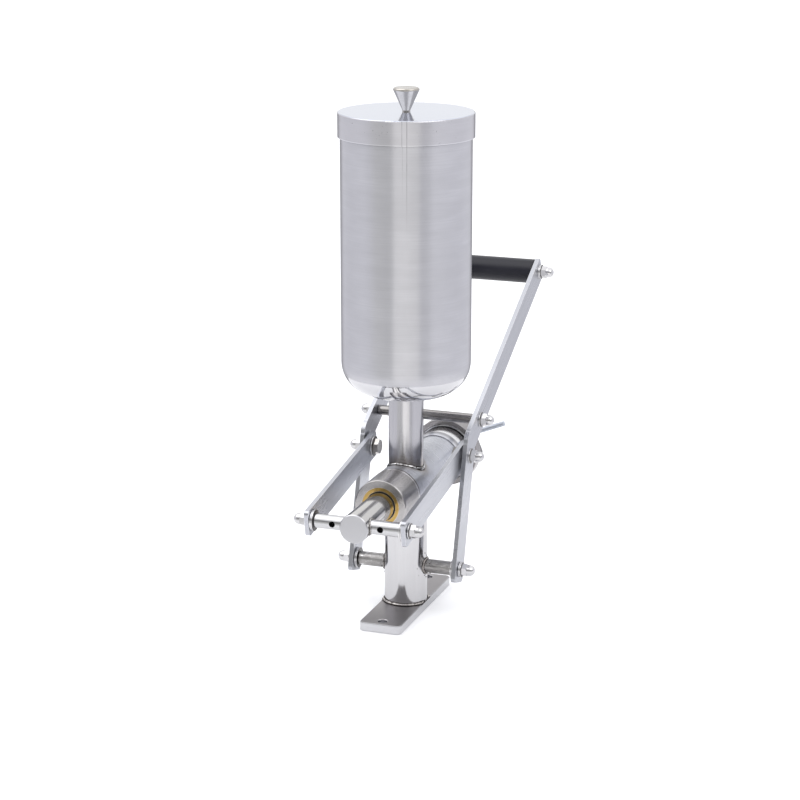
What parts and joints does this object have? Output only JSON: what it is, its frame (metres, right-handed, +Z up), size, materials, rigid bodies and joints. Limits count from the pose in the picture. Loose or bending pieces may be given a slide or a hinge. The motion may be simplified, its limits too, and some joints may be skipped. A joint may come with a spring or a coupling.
{
  "type": "churro filling machine",
  "caption": "Bench lever pump for filling churros: a hopper over a barrel whose piston is drawn by a dog-leg lever pair and links, with a union nut and nozzle tube.",
  "frame": {"origin": "underside of the base plate, on the post's axis", "axes": "+Z up the post, +Y to the rear along the barrel towards the nozzle, +X to the right"},
  "size_m": [0.1682, 0.4956, 0.6056],
  "materials": {
    "plate": "satin ground plate",
    "weld": "bead with heat tint",
    "tube_polished": "polished tube",
    "barrel": "polished, drawn tube",
    "cap": "turned, fine brushed",
    "turned": "turned, bright",
    "brass": "turned",
    "hopper": "brushed around, polished floor",
    "lid": "brushed around, polished top",
    "knob": "turned and polished",
    "raw_bar": "as drawn, dull",
    "bar_round": "drawn, satin",
    "rod_polished": "ground and polished",
    "flat_bar": "long brushed",
    "fastener": "bright stainless",
    "seal": "matt food-grade rubber",
    "piston_plastic": "machined food-grade plastic",
    "grip": "satin black"
  },
  "bodies": {
    "frame": {"base_plate": "plate", "base_weld": "weld", "post": "tube_polished", "post_weld": "weld", "barrel": "barrel", "barrel_collar": "turned", "front_cap": "cap", "rod_bush": "brass", "rod_seal": "seal", "neck": "tube_polished", "neck_weld": "weld", "hopper": "hopper", "hopper_weld": "weld", "lever_shaft": "raw_bar", "shaft_weld": "weld", "shaft_washers": "fastener", "shaft_nuts": "fastener", "nozzle_gasket": "seal", "nozzle_body": "turned", "nozzle_tube": "turned"},
    "union_nut": {"nozzle_nut": "turned", "nozzle_nut_handle": "rod_polished"},
    "hopper_lid": {"lid": "lid", "lid_knob": "knob", "knob_screw": "fastener"},
    "piston": {"piston_rod": "rod_polished", "piston_head": "piston_plastic", "piston_seals": "seal", "front_crossbar": "bar_round", "crossbar_weld": "weld", "crossbar_washers": "fastener", "crossbar_nuts": "fastener"},
    "lever": {"left_lever": "flat_bar", "right_lever": "flat_bar", "upper_crossbar": "bar_round", "upper_crossbar_washers": "fastener", "upper_crossbar_nuts": "fastener", "handle_grip": "grip", "handle_rod": "raw_bar", "handle_washers": "fastener", "handle_nuts": "fastener", "link_bolts": "fastener", "link_washers": "fastener", "link_nuts": "fastener"},
    "left_link_arm": {"left_link": "flat_bar"},
    "right_link_arm": {"right_link": "flat_bar"}
  },
  "joints": [
    {"name": "lever_swing", "type": "hinge", "parent": "frame", "child": "lever", "pos_m": [0, 0, 0.0533], "axis": [-1, 0, 0], "range_deg": [-8, 12]},
    {"name": "piston_slide", "type": "slide", "parent": "frame", "child": "piston", "axis": [0, 1, 0], "range_m": [-0.017, 0.025]},
    {"name": "left_link_swing", "type": "hinge", "parent": "piston", "child": "left_link_arm", "pos_m": [0, -0.15465, 0.1484], "axis": [-1, 0, 0], "range_deg": [-2, 3]},
    {"name": "right_link_swing", "type": "hinge", "parent": "piston", "child": "right_link_arm", "pos_m": [0, -0.15465, 0.1484], "axis": [-1, 0, 0], "range_deg": [-2, 3]},
    {"name": "lid_lift", "type": "slide", "parent": "frame", "child": "hopper_lid", "axis": [0, 0, 1], "range_m": [0, 0.07]},
    {"name": "union_nut_turn", "type": "hinge", "parent": "frame", "child": "union_nut", "pos_m": [0, 0.1425, 0.1484], "axis": [0, 1, 0], "range_deg": [0, 180]}
  ],
  "couplings": [
    {"joint": "piston_slide", "follows": "lever_swing", "m_per_rad": 0.1181},
    {"joint": "left_link_swing", "follows": "lever_swing", "ratio": 0.2123},
    {"joint": "right_link_swing", "follows": "lever_swing", "ratio": 0.2123}
  ]
}
